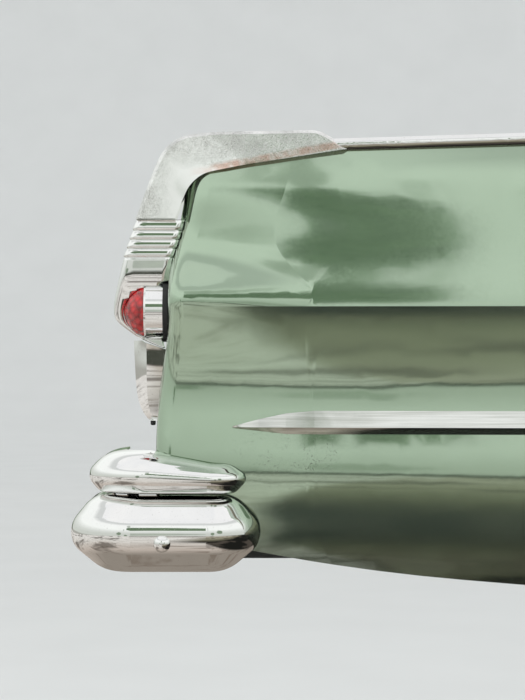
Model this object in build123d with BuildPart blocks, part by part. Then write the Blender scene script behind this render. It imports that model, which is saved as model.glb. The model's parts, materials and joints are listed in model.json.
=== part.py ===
"""Right rear wing of a 1950s saloon, with its fin lamp, brightwork and bumper end."""
import os
from collections import namedtuple
from math import cos, hypot, radians, sin

from build123d import *

os.makedirs("parts", exist_ok=True)

# Frame: +X runs forward from the rear axle line, +Y inboard from the body's side, +Z up from
# the bolt flange's datum. "out" is a distance outboard of the body's side, along -Y. A height
# is above the road.
datum_height = 945.0        # flange datum
sheet = 1.5                 # wing sheet
fit = 0.3                   # gap between pieces that bear on each other
seat_gap = 0.5              # gap under pieces that lie on the wing's paint
across = 300.0              # reach of blanks and cuts that go right across the wing
core_margin = 10.0          # reach of the wing's core past the front edge

# Wing, side view
tail_place = 1276.0         # the belly's rearmost point, behind the axle line
front_edge = 540.0          # ahead of the axle line
pod_length = 236.0          # from the belly's rearmost point to where the lamp's pod fades
arch_place = -500.0         # a section behind the wheel arch
crest_height = 1000.5       # seam along the fin's crest, over the axle line
crest_rise = 0.0258         # rise of the crest per mm forward
sill_height = 300.0
arch_height = 528.0
arch_half = 345.0
hem = 14.0                  # turned edge along the sill and arch

# Fin top, gutter and bolt flange
fin_width = 44.0
fin_roll = 16.0             # height of the fin's crest above its seam
flange_depth = 66.0
rail_thickness = 4.0
rail_height = 50.0
rail_drop = 3.0             # from the gutter's shelf down to the rail
flange_bolt = 9.0
flange_bolt_pitch = 400.0
flange_bolt_middle = 100.0  # x of the middle between the two bolts

# Lamp
lamp_out = 79.0
lamp_height = 731.0
lamp_set = 16.0             # the lamp's seat, ahead of the belly's rearmost point
lens_radius = 39.8
lens_depth = 33.5
lens_wall = 3.0
ring_wall = 3.0
ring_lip = 3.2              # from the lens's edge out to the ring's
ring_length = 29.0
gasket_lip = 4.0            # from the ring's edge out to the gasket's
gasket_depth = 6.0
hood_height = 39.5          # from the ring's top up to the lowest rib
keel_width = 15.0

# Brightwork
cap_rise = 37.0             # top of the fin cap over the crest at the tail
cap_proud = 3.0
cap_bevel = 5.0             # bevel round the cap's outer edge
belt_height = 18.0
belt_proud = 7.0
spear_lift = 27.0           # the spear's ridge over the wheel arch
spear_proud = 12.0

# Bumper
bumper_height = 394.0       # middle of the lower bar's face
bumper_sheet = 3.0
bumper_gap = 8.0            # from the wing to the bars' edges
lower_overhang = 129.0      # behind the belly's rearmost point
lower_side = 205.0          # distance outboard of the lower bar's face
lower_wrap = 288.0          # length of the lower bar along the side
upper_setback = 27.0        # of the upper bar's face behind the lower one's, at the tail
upper_side_setback = 15.0
upper_wrap = 240.0
corner_radius = 95.0
bumper_bolt = 12.0
bumper_bolt_head = 25.0
arm_length = 325.0


def above(height):
    """z of a height above the road"""
    return height - datum_height


def behind(distance):
    """x of a distance behind the belly's rearmost point"""
    return -(tail_place + distance)


def inset(points, radii, amount):
    """a filleted open outline moved to its left by an amount"""
    runs = []
    for (ax, ay), (bx, by) in zip(points, points[1:]):
        run = hypot(bx - ax, by - ay)
        ux = (bx - ax) / run
        uy = (by - ay) / run
        runs.append((ax - uy * amount, ay + ux * amount, ux, uy, run))
    moved = [runs[0][:2]]
    moved_radii = []
    for (ax, ay, aux, auy, _), (bx, by, bux, buy, _), radius in zip(runs, runs[1:], radii):
        turn = aux * buy - auy * bux
        along = ((bx - ax) * buy - (by - ay) * bux) / turn
        moved.append((ax + aux * along, ay + auy * along))
        sharp = radius - amount if turn > 0 else radius + amount
        moved_radii.append(max(sharp, 0.4) if radius else 0)
    x, y, ux, uy, run = runs[-1]
    moved.append((x + ux * run, y + uy * run))
    return moved, moved_radii


def band(points, radii, amount):
    """a face of even width on the left of a filleted outline, drawn in the open sketch"""
    inner, inner_radii = inset(points, radii, amount)
    with BuildLine() as outline:
        FilletPolyline(*points, radius=radii)
        FilletPolyline(*inner, radius=inner_radii)
        Line(points[0], inner[0])
        Line(points[-1], inner[-1])
    make_face(outline.line)


def cross_plane(x):
    """section across the wing at x, drawn in (out, z)"""
    return Plane(origin=(x, 0, 0), x_dir=(0, -1, 0), z_dir=(-1, 0, 0))


def lamp_plane(x):
    """section across the lamp's axis at x; its normal points aft"""
    return Plane(origin=(x, -lamp_out, above(lamp_height)), x_dir=(0, -1, 0), z_dir=(-1, 0, 0))


# Rows of the wing's side, each an outline seen from above. share: of the way from the crease
# to the crest, or down to the sill. lean: share of the crest's rise. ahead: of the belly's
# rearmost point. The last four columns are distances outboard.
Row = namedtuple("Row", "share lean ahead corner at_tail at_pod at_arch at_front")
fin_out = lamp_out + fin_width / 2 + 1
upper_rows = [
    Row(0, 0, 18, 26, 152, 163, 196, 222),
    Row(0.14, 0, 19, 28, 144, 156, 191, 216),
    Row(0.29, 0, 24, 34, 122, 147, 184, 209),
    Row(0.59, 0.23, 39, 40, 114, 137, 170, 194),
    Row(0.83, 0.62, 45, 40, 108, 126, 156, 176),
    Row(1, 1, 47, 40, fin_out, 116, 142, 160),
]
lower_rows = [
    upper_rows[0],
    Row(0.08, 0, 17.5, 26, 140, 151, 184, 210),
    Row(0.18, 0, 12, 26, 126, 142, 176, 202),
    Row(0.30, 0, 4.5, 26, 122, 138, 174, 199),
    Row(0.46, 0, 0, 26, 131, 149, 186, 212),
    Row(0.64, 0, 0, 26, 130, 150, 190, 218),
    Row(0.81, 0, 12, 26, 112, 134, 176, 206),
    Row(1, 0, 34, 26, 78, 98, 138, 166),
]
crease_lift = 6.0           # crease over the lamp's axis
row_margin = 15.0           # the lowest row, under the sill
pod_blend = 1800.0
side_blend = 6000.0
pod_end = behind(-pod_length)
crease_height = lamp_height + crease_lift
Level = namedtuple("Level", "height rise rear corner at_tail at_pod at_arch at_front")


def levels_between(rows, start, end):
    """the rows set between two heights"""
    return [Level(start + row.share * (end - start), row.lean * crest_rise, behind(-row.ahead),
                  row.corner, row.at_tail, row.at_pod, row.at_arch, row.at_front)
            for row in rows]


upper_levels = levels_between(upper_rows, crease_height, crest_height)
lower_levels = levels_between(lower_rows, crease_height, sill_height - row_margin)
crest = upper_levels[-1]


def level_plane(level):
    return Plane(origin=(0, 0, above(level.height)), x_dir=(1, 0, level.rise),
                 z_dir=(-level.rise, 0, 1))


def level_outline(level):
    points = [(level.rear, 0), (level.rear, -level.at_tail), (pod_end, -level.at_pod),
              (arch_place, -level.at_arch), (front_edge, -level.at_front)]
    return points, [level.corner, pod_blend, side_blend]


def side_sheet(levels, depth, start=0.0):
    """the wing's side, lofted through its levels, from a start to a depth inside its face"""
    with BuildPart() as side:
        for level in levels:
            points, radii = level_outline(level)
            if start:
                points, radii = inset(points, radii, start)
            with BuildSketch(level_plane(level)):
                band(points, radii, depth - start)
        loft()
    return side.part


def side_core(levels, depth=0.0):
    """all that lies a depth inside the wing's side between some levels"""
    with BuildPart() as core:
        for level in levels:
            points, radii = level_outline(level)
            if depth:
                points, radii = inset(points, radii, depth)
            (ax, ay), (bx, by) = points[-2:]
            share = core_margin / hypot(bx - ax, by - ay)
            points[-1] = (bx + (bx - ax) * share, by + (by - ay) * share)
            with BuildSketch(level_plane(level)):
                with BuildLine():
                    FilletPolyline(*points, radius=radii)
                    Polyline(points[-1], (points[-1][0], 0), points[0])
                make_face()
        loft()
    return core.part


# Lower edge of the wing, from the tail forward over the arch, in (x, height above the road)
arch_flare = 87.0           # from the arch's top corner out to its foot
lower_edge = [(behind(24), sill_height + 98), (behind(-316), sill_height + 37),
              (-arch_half - 215, sill_height + 6), (-arch_half - arch_flare, sill_height + 3),
              (-arch_half, arch_height), (arch_half, arch_height),
              (arch_half + arch_flare, sill_height), (front_edge + 20, sill_height - 2)]
lower_edge_radii = [3000, 1500, 30, 150, 150, 30]
cut_depth = 100.0           # how far below the sill the cutting block reaches
strip_margin = 2.0          # how far the hem's blank reaches under the edge
strip_start = 20.0          # outboard distance at which it starts


def lower_path():
    return [(x, above(height)) for x, height in lower_edge], lower_edge_radii


def below_edge():
    """everything under the wing's lower edge"""
    points, radii = lower_path()
    floor = above(sill_height - cut_depth)
    with BuildPart() as under:
        with BuildSketch(Plane.XZ):
            with BuildLine():
                FilletPolyline(*points, radius=radii)
                Polyline(points[-1], (points[-1][0], floor), (points[0][0], floor), points[0])
            make_face()
        extrude(amount=across, both=True)
    return under.part


def edge_strip():
    """a strip that follows the lower edge a sheet's thickness over it, right across the wing"""
    points, radii = inset(*lower_path(), -strip_margin)
    with BuildPart() as strip:
        with BuildSketch(Plane.XZ.offset(strip_start)):
            band(points, radii, sheet + strip_margin)
        extrude(amount=across)
    return strip.part


def crest_z(x):
    """z of the seam along the fin's crest"""
    return above(crest.height) + crest.rise * x


# Stations of the fin's top and the boot gutter inboard of it.
# Columns: x, outboard distance of the crest, drop from the crest to the gutter's shelf
Station = namedtuple("Station", "x crest_out shelf_drop")
fin_stations = [
    Station(crest.rear + sheet + fit / 3, crest.at_tail, 101),
    Station(pod_end, crest.at_pod, 69),
    Station(arch_place, crest.at_arch, 36.5),
    Station(front_edge, crest.at_front, 59),
]


def shelf_z(station):
    return crest_z(station.x) - station.shelf_drop


def crest_out(x):
    """outboard distance of the fin's crest at x"""
    for aft, fore in zip(fin_stations, fin_stations[1:]):
        if x <= fore.x:
            break
    share = (x - aft.x) / (fore.x - aft.x)
    return aft.crest_out + share * (fore.crest_out - aft.crest_out)


def fin_outline(station):
    """the fin's top, gutter and bolt flange in (out, z), from the seam inboard"""
    out = station.crest_out
    seam = crest_z(station.x)
    shelf = shelf_z(station)
    points = [(out, seam), (out - 3, seam + fin_roll), (out - fin_width, seam + fin_roll),
              (out - fin_width - 2, shelf), (rail_thickness, shelf),
              (rail_thickness, shelf - flange_depth)]
    return points, [12, 12, 10, 5]


lamp_aperture = lens_radius - 4
ring_radius = lens_radius + ring_lip
gasket_radius = ring_radius + gasket_lip

# Wing skin: the side above and below the crease, its tail and its turned lower edge
fin_inner = crest.at_tail - fin_width
tail_cut = 60.0             # reach of the cuts through the tail's wall
gutter_cut = 200.0          # height of the cut over the boot gutter
gutter_margin = 10.0        # how far it starts inboard of the body's side
with BuildPart() as wing_skin:
    add(side_sheet(upper_levels, sheet))
    add(side_sheet(lower_levels, sheet))
    add(below_edge(), mode=Mode.SUBTRACT)
    add(side_sheet(lower_levels, hem, sheet / 2) & edge_strip())
    add(below_edge(), mode=Mode.SUBTRACT)
    # the tail wall is open behind the lamp and stops at the boot gutter
    with BuildSketch(lamp_plane(crest.rear)):
        Circle(lamp_aperture)
    extrude(amount=tail_cut, mode=Mode.SUBTRACT)
    with BuildSketch(Plane.YZ.offset(crest.rear - tail_cut / 2)):
        with Locations(((gutter_margin - fin_inner) / 2,
                        shelf_z(fin_stations[0]) + gutter_cut / 2)):
            Rectangle(fin_inner + gutter_margin, gutter_cut)
    extrude(amount=tail_cut, mode=Mode.SUBTRACT)
wing_skin.part.label = "wing_skin"

flange_level = shelf_z(fin_stations[2]) - rail_drop - rail_height / 2
flange_bolts = [(flange_bolt_middle + side * flange_bolt_pitch / 2, flange_level)
                for side in (-1, 1)]

# Fin top, boot gutter and bolt flange, one sheet
with BuildPart() as fin_top:
    for station in fin_stations:
        with BuildSketch(cross_plane(station.x)):
            band(*fin_outline(station), sheet)
    loft(ruled=True)
    with BuildSketch(Plane.XZ):
        with Locations(*flange_bolts):
            Circle(flange_bolt / 2)
    extrude(amount=3 * rail_thickness, mode=Mode.SUBTRACT)
    add(wing_skin.part, mode=Mode.SUBTRACT)
fin_top.part.label = "fin_top"


def side_out(x, height):
    """outboard distance of the wing's side, read off its levels"""
    levels = upper_levels if height >= crease_height else lower_levels
    levels = sorted(levels, key=lambda level: level.height)
    for low, high in zip(levels, levels[1:]):
        if height <= high.height:
            break
    share = (height - low.height) / (high.height - low.height)

    def at(level):
        places = [level.rear, pod_end, arch_place, front_edge]
        outs = [level.at_tail, level.at_pod, level.at_arch, level.at_front]
        for index in range(3):
            if x <= places[index + 1]:
                break
        part = (x - places[index]) / (places[index + 1] - places[index])
        return outs[index] + part * (outs[index + 1] - outs[index])

    return at(low) + share * (at(high) - at(low))


# Bolt rail: the flat bar behind the flange that the body is bolted to
with BuildPart() as bolt_rail:
    with BuildSketch(Plane.XZ):
        with BuildLine():
            tops = [(station.x, shelf_z(station) - rail_drop) for station in fin_stations]
            feet = [(x, z - rail_height) for x, z in reversed(tops)]
            Polyline(*tops, *feet, close=True)
        make_face()
        with Locations(*flange_bolts):
            Circle(flange_bolt / 2, mode=Mode.SUBTRACT)
    extrude(amount=rail_thickness - fit)
bolt_rail.part.label = "bolt_rail"

# Everything inside the wing's side and inside the fin: what lies on the wing is cut away to
# seat on it, and what lies in it is kept to its room
wing_core = side_core(upper_levels, -seat_gap) + side_core(lower_levels, -seat_gap)
wing_room = side_core(upper_levels, sheet + fit) + side_core(lower_levels, sheet + fit)
with BuildPart() as fin_core:
    for station in fin_stations[:3]:
        out = station.crest_out
        seam = crest_z(station.x)
        inner_foot = (out - fin_width - 2, shelf_z(station))
        with BuildSketch(cross_plane(station.x)):
            with BuildLine():
                FilletPolyline((out, inner_foot[1]), (out, seam), (out - 3, seam + fin_roll),
                               (out - fin_width, seam + fin_roll), inner_foot,
                               radius=[0, 12, 12])
                Line(inner_foot, (out, inner_foot[1]))
            make_face()
    loft(ruled=True)

# Wheelhouse: the arched inner wall over the tyre, from the body's side to the wing
axle_height = 345.0
wheelhouse_radius = arch_half + 55
wheelhouse_foot = axle_height + 75
wheelhouse_reach = 260.0


def wheel_circle(radius):
    """the arc of a radius about the axle, from the wheelhouse's aft foot over to its fore foot"""
    reach = (radius ** 2 - (wheelhouse_foot - axle_height) ** 2) ** 0.5
    foot = above(wheelhouse_foot)
    ThreePointArc((-reach, foot), (0, above(axle_height) + radius), (reach, foot))
    return reach, foot


with BuildPart() as wheelhouse:
    with BuildSketch(Plane.XZ):
        with BuildLine():
            outer_reach, foot = wheel_circle(wheelhouse_radius)
            inner_reach, foot = wheel_circle(wheelhouse_radius - sheet)
            Line((-outer_reach, foot), (-inner_reach, foot))
            Line((outer_reach, foot), (inner_reach, foot))
        make_face()
    extrude(amount=wheelhouse_reach)
    add(wing_room, mode=Mode.INTERSECT)
wheelhouse.part.label = "wheelhouse"

# Lamp housing's ribs, from the fin cap down. Columns: height, then how far ahead of the lens's
# apex the rib's aft edge is at its top and at its foot
Rib = namedtuple("Rib", "height top_ahead foot_ahead")
ribs = [
    Rib(17.5, 21.5, 15.5),
    Rib(14, 16.5, 10.5),
    Rib(13.5, 11.5, 6.5),
    Rib(13.5, 8, 3),
]
lamp_seat = behind(-lamp_set)
ring_front = lamp_seat - gasket_depth
lens_base = ring_front - ring_length
lens_apex = lens_base - lens_depth
lamp_z = above(lamp_height)
rib_foot = lamp_z + ring_radius + hood_height

# Fin cap: the casting over the fin's end. Its outline is seen from the side, and its block
# gives the lean of its faces.
cap_foot = rib_foot + sum(rib.height for rib in ribs)
cap_top = crest_z(crest.rear) + cap_rise
cap_height = cap_top - cap_foot
# Points in (distance behind the belly's rearmost point, share of the cap's height)
cap_upper_edge = [(31.5, 0), (6, 0.522), (-11, 0.80), (-38, 0.95), (-90, 0.99), (-246, 1),
                  (-266, 0.92), (-290, 0.78)]
cap_upper_radii = [300, 60, 60, 200, 40, 60]
cap_lower_edge = [(-290, 0.78), (-130, 0.60), (-72, 0.515), (-50, 0.38), (-29, 0)]
cap_lower_radii = [600, 50, 55]
cap_margin = 5.0            # reach of the block beyond the outline
# Columns: x, inboard face, outboard face at the block's top and at its foot
CapFace = namedtuple("CapFace", "x inner top foot")
cap_faces = [CapFace(behind(36), fin_inner - 3, crest.at_tail - 2, crest.at_tail + 4)]
for x in (behind(-136), behind(-292)):
    foot_out = side_out(x, cap_foot + datum_height) + cap_proud
    head_out = side_out(x, upper_levels[-2].height) + cap_proud
    lean = (head_out - foot_out) / (above(upper_levels[-2].height) - cap_foot)
    cap_faces.append(CapFace(x, crest_out(x) - fin_width - 3, foot_out + lean * cap_height,
                             foot_out))


def cap_points(edge):
    return [(behind(distance), cap_foot + share * cap_height) for distance, share in edge]


with BuildLine(Plane.XZ) as cap_rim:
    FilletPolyline(*cap_points(cap_upper_edge), radius=cap_upper_radii)


def on_cap_rim(edge):
    """whether an edge of the cap's outboard face lies on its outer outline"""
    middle = edge.position_at(0.5)
    seen = Vertex(middle.X, 0, middle.Z)
    runs_along = abs(edge.tangent_at(0.5).Y) < 0.5
    return runs_along and middle.Y < -lamp_out and cap_rim.line.distance_to(seen) < fit


with BuildPart() as fin_cap:
    for face in cap_faces:
        with BuildSketch(cross_plane(face.x)):
            Polygon((face.inner, cap_foot - cap_margin), (face.inner, cap_top + cap_margin),
                    (face.top, cap_top + cap_margin), (face.foot, cap_foot - cap_margin),
                    align=None)
    loft(ruled=True)
    with BuildSketch(Plane.XZ):
        with BuildLine():
            FilletPolyline(*cap_points(cap_upper_edge), radius=cap_upper_radii)
            FilletPolyline(*cap_points(cap_lower_edge), radius=cap_lower_radii)
            Line(cap_points(cap_lower_edge)[-1], cap_points(cap_upper_edge)[0])
        make_face()
    extrude(amount=across, mode=Mode.INTERSECT)
    chamfer(fin_cap.edges().filter_by(on_cap_rim), cap_bevel)
    add(wing_core, mode=Mode.SUBTRACT)
    add(fin_core.part, mode=Mode.SUBTRACT)
fin_cap.part.label = "fin_cap"

# Lamp: gasket, ring, lens, reflector and bulb stand on one axis
with BuildPart() as lamp_gasket:
    with BuildSketch(lamp_plane(lamp_seat + gasket_depth)):
        Circle(gasket_radius)
        Circle(lamp_aperture, mode=Mode.SUBTRACT)
    extrude(amount=2 * gasket_depth)
    add(wing_core, mode=Mode.SUBTRACT)
lamp_gasket.part.label = "lamp_gasket"


lamp_axis = Axis((0, -lamp_out, lamp_z), (1, 0, 0))
# half of a section through the lamp's axis, drawn in (distance aft of the axle, radius)
half_plane = Plane(origin=(0, -lamp_out, lamp_z), x_dir=(-1, 0, 0), z_dir=(0, -1, 0))
with BuildPart() as lamp_ring:
    front = -ring_front
    back = -lens_base
    with BuildSketch(half_plane):
        with BuildLine():
            Polyline((front, ring_radius - ring_wall), (front, ring_radius),
                     (back - 3, ring_radius), (back, ring_radius - 1.8),
                     (back, lens_radius + fit), (back - 2, lens_radius + fit),
                     (back - 2, ring_radius - ring_wall), close=True)
        make_face()
    revolve(axis=lamp_axis)
lamp_ring.part.label = "lamp_ring"


def dome(foot, radius, apex):
    """a blunt bullet's outline in (distance aft, radius), from its foot to its apex"""
    tip_radius = radius / 2
    tip_turn = radians(38)
    joint = (apex - tip_radius + tip_radius * cos(tip_turn), tip_radius * sin(tip_turn))
    half_way = (apex - tip_radius + tip_radius * cos(tip_turn / 2),
                tip_radius * sin(tip_turn / 2))
    TangentArc(joint, (foot, radius), tangent=(-sin(tip_turn), cos(tip_turn)))
    ThreePointArc(joint, half_way, (apex, 0))


lens_flange = 3.0
with BuildPart() as lens:
    back = -lens_base
    foot = back - 2 - fit
    rim = ring_radius - ring_wall - fit
    with BuildSketch(half_plane):
        with BuildLine():
            dome(back, lens_radius, back + lens_depth)
            Polyline((back + lens_depth, 0), (foot - lens_flange, 0), (foot - lens_flange, rim),
                     (foot, rim), (foot, lens_radius), (back, lens_radius))
        make_face()
    revolve(axis=lamp_axis)
    with BuildSketch(half_plane):
        with BuildLine():
            dome(back, lens_radius - lens_wall, back + lens_depth - lens_wall)
            Polyline((back + lens_depth - lens_wall, 0), (foot - lens_flange - 1, 0),
                     (foot - lens_flange - 1, lens_radius - lens_wall),
                     (back, lens_radius - lens_wall))
        make_face()
    revolve(axis=lamp_axis, mode=Mode.SUBTRACT)
lens.part.label = "lens"

# Bulb holder: a cup that hangs in the tail's aperture from the gasket's face, and its bulb
cup_radius = lamp_aperture - 4
cup_depth = 26.0
cup_wall = 2.0
socket_radius = 9.0
socket_length = 24.0
socket_lead = 12.0          # how far the socket stands ahead of the cup's floor
bulb_radius = 9.5
bulb_length = 26.0
with BuildPart() as reflector:
    with BuildSketch(half_plane):
        with BuildLine():
            rim = -ring_front
            floor = rim - cup_depth
            Polyline((floor, socket_radius), (floor, cup_radius - 8), (rim, cup_radius),
                     (rim, ring_radius - ring_wall - fit),
                     (rim + cup_wall, ring_radius - ring_wall - fit),
                     (rim + cup_wall, cup_radius - cup_wall),
                     (floor + cup_wall, cup_radius - 8 - cup_wall),
                     (floor + cup_wall, socket_radius), close=True)
        make_face()
    revolve(axis=lamp_axis)
reflector.part.label = "reflector"

socket_front = ring_front + cup_depth + socket_lead
with BuildPart() as bulb_socket:
    with BuildSketch(lamp_plane(socket_front)):
        Circle(socket_radius - fit / 3)
    extrude(amount=socket_length)
    chamfer(bulb_socket.edges().sort_by(Axis.X)[0], 1)
bulb_socket.part.label = "bulb_socket"

with BuildPart() as bulb_glass:
    with BuildSketch(lamp_plane(socket_front - socket_length)):
        Circle(bulb_radius)
    extrude(amount=bulb_length)
    fillet(bulb_glass.edges().sort_by(Axis.X)[0], bulb_radius - 1)
bulb_glass.part.label = "bulb_glass"

# Lamp housing: shingled ribs under the fin cap, a hood, and the keel that runs down over the
# lens to the sole under the ring
rib_joint = 1.5             # gap under the fin cap
rib_step = 1.6              # how far a rib's foot stands out past its head, on each side
rib_corner = 7.0
casting_width = fin_width + 4
casting_front = crest.rear + 20
lens_room = 1.0
# Points in (distance behind the lens's base, height over the lamp's axis)
keel_outline = [(lens_depth - 2, ring_radius + hood_height), (lens_depth + 13, 17),
                (lens_depth + 14, -10), (lens_depth - 4, 16.5 - ring_radius),
                (0, -ring_radius - 3.5), (-ring_length - 3, -ring_radius - 14)]
keel_radii = [120, 22, 80, 80]
keel_line = [(lens_base - distance, lamp_z + height) for distance, height in keel_outline]


def casting_section(aft_edge, width):
    """a rounded section of the housing in an open sketch, from inside the wing to its aft edge"""
    with Locations(((aft_edge + casting_front) / 2, -lamp_out)):
        RectangleRounded(casting_front - aft_edge, width, rib_corner)


# Hood sections. Columns: height over the lamp's axis, distance behind the lens's base, width
HoodLevel = namedtuple("HoodLevel", "lift behind_base width")
hood_levels = [
    HoodLevel(ring_radius + hood_height, lens_depth - 2, casting_width),
    HoodLevel(ring_radius - 1, lens_depth + 7, casting_width - 2),
    HoodLevel(ring_radius - 22, lens_depth + 11, keel_width + 4),
]
with BuildPart() as housing_ribs:
    head = cap_foot - rib_joint
    for rib in ribs:
        foot = head - rib.height + (rib_joint if rib is ribs[0] else 0)
        with BuildSketch(Plane.XY.offset(head)):
            casting_section(lens_apex + rib.top_ahead, casting_width)
        with BuildSketch(Plane.XY.offset(foot)):
            casting_section(lens_apex + rib.foot_ahead, casting_width + 2 * rib_step)
        loft(ruled=True)
        head = foot
with BuildPart() as housing_hood:
    for level in hood_levels:
        with BuildSketch(Plane.XY.offset(lamp_z + level.lift)):
            casting_section(lens_base - level.behind_base, level.width)
    loft(ruled=True)
with BuildPart() as lamp_housing:
    add(housing_ribs.part)
    add(housing_hood.part)
    with BuildSketch(Plane.XZ.offset(lamp_out - keel_width / 2)):
        with BuildLine():
            FilletPolyline(*keel_line, radius=keel_radii)
            Polyline(keel_line[-1], (ring_front, lamp_z), (ring_front, rib_foot), keel_line[0])
        make_face()
    extrude(amount=keel_width)
    # room for the lens, the ring, the gasket and the tail
    with BuildSketch(half_plane):
        with BuildLine():
            back = -lens_base
            apex = back + lens_depth + lens_room
            dome(back, lens_radius + lens_room, apex)
            Polyline((apex, 0), (0, 0), (0, ring_radius + fit), (back, ring_radius + fit),
                     (back, lens_radius + lens_room))
        make_face()
    revolve(axis=lamp_axis, mode=Mode.SUBTRACT)
    with BuildSketch(lamp_plane(ring_front)):
        Circle(gasket_radius + fit)
    extrude(amount=ring_front, mode=Mode.SUBTRACT)
    add(wing_core, mode=Mode.SUBTRACT)
lamp_housing.part.label = "lamp_housing"

# Finial: the tapered casting that hangs below the lamp on the tail's wall
# Columns: drop below the lamp's axis, then distances behind the belly's rearmost point of the
# ridge and the nose, then half widths at the wall and at the ridge
Slice = namedtuple("Slice", "drop ridge nose wall_half ridge_half")
finial_slices = [
    Slice(45, 15.5, 35.5, 22, 23),
    Slice(89, 15, 33.5, 20, 21),
    Slice(128, 14, 30, 15, 16),
    Slice(151, 11, 23, 9, 10),
    Slice(168, 6, 11, 4, 4.5),
]
finial_gap = 1.5
finial_root = behind(-24)   # inside the tail's wall, before it is cut to seat there
with BuildPart() as finial:
    for cut in finial_slices:
        ridge = behind(cut.ridge)
        nose = behind(cut.nose)
        with BuildSketch(Plane.XY.offset(lamp_z - cut.drop)):
            Polygon((finial_root, -lamp_out - cut.wall_half),
                    (ridge, -lamp_out - cut.ridge_half), (nose, -lamp_out - 1),
                    (nose, -lamp_out + 1), (ridge, -lamp_out + cut.ridge_half),
                    (finial_root, -lamp_out + cut.wall_half), align=None)
    loft()
    # its top is cut parallel to the housing's sole
    with BuildSketch(Plane.XZ.offset(lamp_out - 60)):
        sole = [(x, z - finial_gap) for x, z in keel_line[-3:]]
        Polygon(*sole, (sole[-1][0] + 30, sole[-1][1] - 9), (sole[-1][0] + 30, lamp_z),
                (sole[0][0], lamp_z), align=None)
    extrude(amount=120, mode=Mode.SUBTRACT)
    add(wing_core, mode=Mode.SUBTRACT)
finial.part.label = "finial"

# Rubber plug in the hole at the finial's tip
plug_radius = 4.0
with BuildPart() as finial_plug:
    with BuildSketch(Plane.XY.offset(finial.part.bounding_box().min.Z)):
        with Locations((behind(finial_slices[-1].ridge), -lamp_out)):
            Circle(plug_radius)
    extrude(amount=-7)
    fillet(finial_plug.faces().sort_by(Axis.Z)[0].edges(), 2.5)
finial_plug.part.label = "finial_plug"

# Belt moulding along the crest's shoulder, from under the cap's tip to the front edge
belt_ends = [behind(-270), arch_place, front_edge]
with BuildPart() as belt_moulding:
    for x in belt_ends:
        out = crest_out(x) + fit
        seam = crest_z(x)
        with BuildSketch(cross_plane(x)):
            with BuildLine():
                Polyline((out, seam + 2), (out, seam), (out + 3, seam))
                ThreePointArc((out + 3, seam), (out + belt_proud, seam + belt_height / 2),
                              (out + 1, seam + belt_height))
                Line((out + 1, seam + belt_height), (out, seam + 2))
            make_face()
    loft(ruled=True)
    add(fin_cap.part, mode=Mode.SUBTRACT)
belt_moulding.part.label = "belt_moulding"

# Side spear. Columns: x, the top edge's height over the ridge, the foot's depth under it, how
# proud the ridge stands
Spear = namedtuple("Spear", "x rise fall proud")
spear_ridge = arch_height + spear_lift
spear_sunk = 8.0            # how far its blank reaches into the wing before it is cut
spear_cuts = [
    Spear(behind(-117), 1.5, 1.5, 2),
    Spear(behind(-156), 12, 6, 8),
    Spear(behind(-197), 21, 11.5, 11),
    Spear(behind(-240), 25, 12, spear_proud),
    Spear(arch_place, 25, 12, spear_proud),
    Spear(front_edge, 25, 12, spear_proud),
]
with BuildPart() as spear:
    for cut in spear_cuts:
        seat = side_out(cut.x, spear_ridge)
        ridge = above(spear_ridge)
        with BuildSketch(cross_plane(cut.x)):
            Polygon((seat - spear_sunk, ridge - cut.fall), (seat, ridge - cut.fall),
                    (seat + cut.proud, ridge), (seat + 3, ridge + cut.rise),
                    (seat - spear_sunk, ridge + cut.rise), align=None)
    loft(ruled=True)
    add(wing_core, mode=Mode.SUBTRACT)
spear.part.label = "spear"

# Bumper bars: a hollow section carried along the tail, round the corner and along the side,
# then turned in on itself at its end. Sections run up from the foot, in (distance in from
# the face, height over the bumper's middle).
lower_section = [(80, -58), (50, -57.5), (0, -16), (0, 16), (34, 58), (62, 59)]
lower_radii = [60, 35, 40, 45]
upper_section = [(52, 61), (16, 61.5), (0, 80), (0, 96), (24, 121), (56, 126)]
upper_radii = [18, 20, 20, 60]
upper_end_section = [(52, 61), (16, 61.5), (0, 78), (0, 90), (22, 106), (50, 109)]
upper_end_radii = [18, 12, 12, 40]
bumper_joint = 3.0          # from the body's side to the bars' cut ends
lower_rear = behind(lower_overhang)
lower_end = lower_rear + lower_wrap
upper_rear = lower_rear + upper_setback
upper_side = lower_side - upper_side_setback
upper_end = upper_rear + upper_wrap
bumper_z = above(bumper_height)


def section_points(section, face):
    """a bumper section as points, its face a distance from the centre it turns about"""
    return [(face - inward, bumper_z + lift) for inward, lift in section]


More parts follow.
